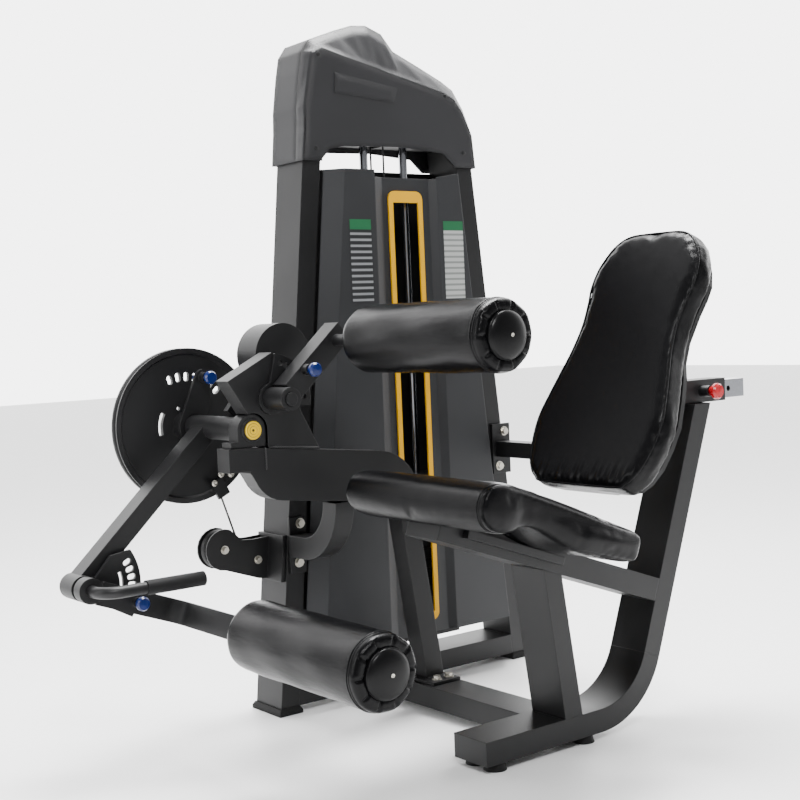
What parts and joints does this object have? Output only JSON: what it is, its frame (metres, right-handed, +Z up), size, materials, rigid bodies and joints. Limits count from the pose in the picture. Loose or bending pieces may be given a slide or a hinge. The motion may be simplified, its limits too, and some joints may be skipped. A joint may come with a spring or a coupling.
{
  "type": "leg extension machine",
  "caption": "Seated leg extension machine with a padded seat and sliding backrest, adjustable swing arm, foam rollers, cam wheel and shrouded weight stack.",
  "frame": {"origin": "centre of the bounding box on the floor", "axes": "+Z up; the user sits facing -X; the weight tower stands at +Y"},
  "size_m": [1.456, 0.99, 1.629],
  "materials": {
    "black_paint": "satin powder coat",
    "grey_paint": "fine-textured powder coat",
    "yellow_paint": "satin",
    "yellow_plastic": "satin",
    "charcoal_plastic": "fine grain",
    "chrome": "polished",
    "black_rubber": "matt",
    "black_leatherette": "semi-gloss grained",
    "steel": "turned",
    "zinc": "zinc plated",
    "blue_plastic": "gloss",
    "red_plastic": "gloss",
    "black_plastic": "satin",
    "black_iron": "painted",
    "cable": "nylon-coated steel cable"
  },
  "bodies": {
    "frame": {"left_upright": "black_paint", "right_upright": "black_paint", "base_beam": "black_paint", "top_beam": "black_paint", "front_shroud": "grey_paint", "rear_shroud": "black_paint", "slot_trim": "yellow_paint", "cap_front": "charcoal_plastic", "cap_rear": "charcoal_plastic", "guide_rods": "chrome", "rubber_feet": "black_rubber", "foot_tube": "black_paint", "back_column": "black_paint", "seat_beam": "black_paint", "front_leg": "black_paint", "connecting_beams": "black_paint", "beam_strut": "black_paint", "bracket_box": "black_paint", "arc_tube": "black_paint", "flange_plates": "black_paint", "hex_bolts": "zinc", "pad_post": "black_paint", "pad_sector": "black_paint", "front_bearing": "black_paint", "bearing_cap": "yellow_plastic", "rear_bearing": "black_paint", "pulley_bracket": "black_paint", "seat_pad": "black_leatherette", "seat_rails": "black_paint", "slide_sleeve": "black_paint", "plates_resting": "black_iron", "arm_cable": "cable"},
    "cam": {"cam_disc": "black_iron", "pivot_shaft": "steel"},
    "swing_arm": {"swing_arm": "black_paint", "counterweight": "black_iron", "arm_selector": "black_paint", "lever_sector": "black_paint"},
    "arm_pin": {"arm_pin": "blue_plastic"},
    "lever": {"lever_bar": "black_paint", "roller_shaft": "steel", "handle_rod": "black_paint", "handle_grip": "black_rubber"},
    "lever_pin": {"lever_pin": "blue_plastic"},
    "lower_roller": {"lower_roller": "black_leatherette"},
    "pad_arm": {"pad_arm": "black_paint"},
    "pad_pin": {"pad_pin": "blue_plastic"},
    "upper_roller": {"upper_roller": "black_leatherette"},
    "backrest": {"back_pad": "black_leatherette", "back_plate": "black_paint", "slide_tube": "chrome"},
    "back_pin": {"back_pin": "red_plastic"},
    "lifted_stack": {"plates_lifted": "black_iron", "stack_top": "black_iron", "stack_cable": "cable"},
    "stack_pin": {"stack_pin": "black_plastic"},
    "pulley_left": {"pulley_left": "black_plastic"},
    "pulley_right": {"pulley_right": "black_plastic"},
    "pulley_base": {"pulley_base": "black_plastic"},
    "pulley_top": {"pulley_top": "black_plastic"}
  },
  "joints": [
    {"name": "cam_turn", "type": "hinge", "parent": "frame", "child": "cam", "pos_m": [-0.373, 0.4, 0.691], "axis": [0, 1, 0], "range_deg": [0, 80]},
    {"name": "arm_adjust", "type": "hinge", "parent": "cam", "child": "swing_arm", "pos_m": [-0.373, 0.35, 0.691], "axis": [0, 1, 0], "range_deg": [-33, 33]},
    {"name": "arm_pin_pull", "type": "slide", "parent": "swing_arm", "child": "arm_pin", "axis": [0, -1, 0], "range_m": [0, 0.014], "stiffness_N_per_m": 200, "springref_m": -0.02},
    {"name": "lever_adjust", "type": "hinge", "parent": "swing_arm", "child": "lever", "pos_m": [-0.70104, 0.28, 0.38295], "axis": [0, -1, 0], "range_deg": [-9, 45]},
    {"name": "lever_pin_pull", "type": "slide", "parent": "lever", "child": "lever_pin", "axis": [0, -1, 0], "range_m": [0, 0.01], "stiffness_N_per_m": 200, "springref_m": -0.02},
    {"name": "lower_roller_spin", "type": "hinge", "parent": "lever", "child": "lower_roller", "pos_m": [-0.49738, -0.25, 0.30518], "axis": [0, 1, 0], "continuous": true},
    {"name": "pad_arm_adjust", "type": "hinge", "parent": "frame", "child": "pad_arm", "pos_m": [-0.325, 0.1, 0.755], "axis": [0, -1, 0], "range_deg": [-48, 24]},
    {"name": "pad_pin_pull", "type": "slide", "parent": "pad_arm", "child": "pad_pin", "axis": [0, -1, 0], "range_m": [0, 0.01], "stiffness_N_per_m": 200, "springref_m": -0.02},
    {"name": "upper_roller_spin", "type": "hinge", "parent": "pad_arm", "child": "upper_roller", "pos_m": [-0.19305, -0.25, 0.87298], "axis": [0, 1, 0], "continuous": true},
    {"name": "back_slide", "type": "slide", "parent": "frame", "child": "backrest", "axis": [1, 0, 0], "range_m": [-0.1, 0.02]},
    {"name": "back_pin_pull", "type": "slide", "parent": "frame", "child": "back_pin", "axis": [0, -1, 0], "range_m": [0, 0.01], "stiffness_N_per_m": 200, "springref_m": -0.02},
    {"name": "stack_lift", "type": "slide", "parent": "frame", "child": "lifted_stack", "axis": [0, 0, 1], "range_m": [0, 0.26], "deforming": ["stack_cable"]},
    {"name": "stack_pin_pull", "type": "slide", "parent": "lifted_stack", "child": "stack_pin", "axis": [0, -1, 0], "range_m": [0, 0.075]},
    {"name": "pulley_left_spin", "type": "hinge", "parent": "frame", "child": "pulley_left", "pos_m": [-0.3, 0.436, 0.397], "axis": [0, 1, 0], "range_deg": [-620, 620]},
    {"name": "pulley_right_spin", "type": "hinge", "parent": "frame", "child": "pulley_right", "pos_m": [-0.212, 0.436, 0.362], "axis": [0, 1, 0], "range_deg": [-620, 620]},
    {"name": "pulley_base_spin", "type": "hinge", "parent": "frame", "child": "pulley_base", "pos_m": [0.1425, 0.436, 0.382], "axis": [0, 1, 0], "range_deg": [-620, 620]},
    {"name": "pulley_top_spin", "type": "hinge", "parent": "frame", "child": "pulley_top", "pos_m": [0.187, 0.41, 1.412], "axis": [1, 0, 0], "range_deg": [-640, 640]}
  ],
  "couplings": [
    {"joint": "stack_lift", "follows": "cam_turn", "m_per_rad": 0.177},
    {"joint": "pulley_right_spin", "follows": "cam_turn", "ratio": -7.2245},
    {"joint": "pulley_base_spin", "follows": "cam_turn", "ratio": -3.9775},
    {"joint": "pulley_top_spin", "follows": "cam_turn", "ratio": 6.8077},
    {"joint": "pulley_left_spin", "follows": "cam_turn", "ratio": 3.9775}
  ]
}
